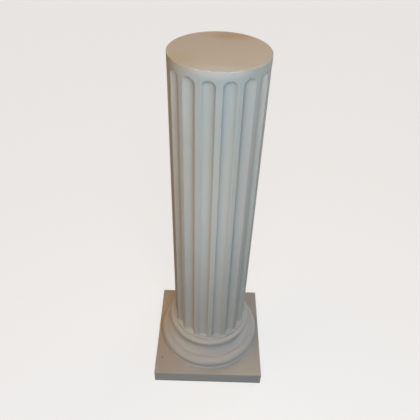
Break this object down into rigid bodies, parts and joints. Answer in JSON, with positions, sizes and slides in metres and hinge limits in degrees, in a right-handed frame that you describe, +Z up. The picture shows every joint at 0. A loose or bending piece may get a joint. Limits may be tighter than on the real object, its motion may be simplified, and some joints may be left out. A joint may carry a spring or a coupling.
{
  "type": "doric column",
  "caption": "Free-standing straight fluted column with a plain collar and flat top, on a round moulded base and a square plinth.",
  "frame": {"origin": "centre of the plinth's underside, on the floor", "axes": "+Z up along the shaft, -Y towards the front, +X to the right as seen from the front, along a side of the plinth"},
  "size_m": [0.335, 0.335, 1],
  "materials": {
    "shaft_plaster": "matte off-white cast plaster, yellowed on the flat top",
    "base_plaster": "matte off-white cast plaster, a little dust in the mouldings",
    "plinth_plaster": "matte off-white cast plaster, dusty beige on top"
  },
  "bodies": {
    "root": {"shaft": "shaft_plaster", "base": "base_plaster", "plinth": "plinth_plaster"}
  },
  "joints": []
}
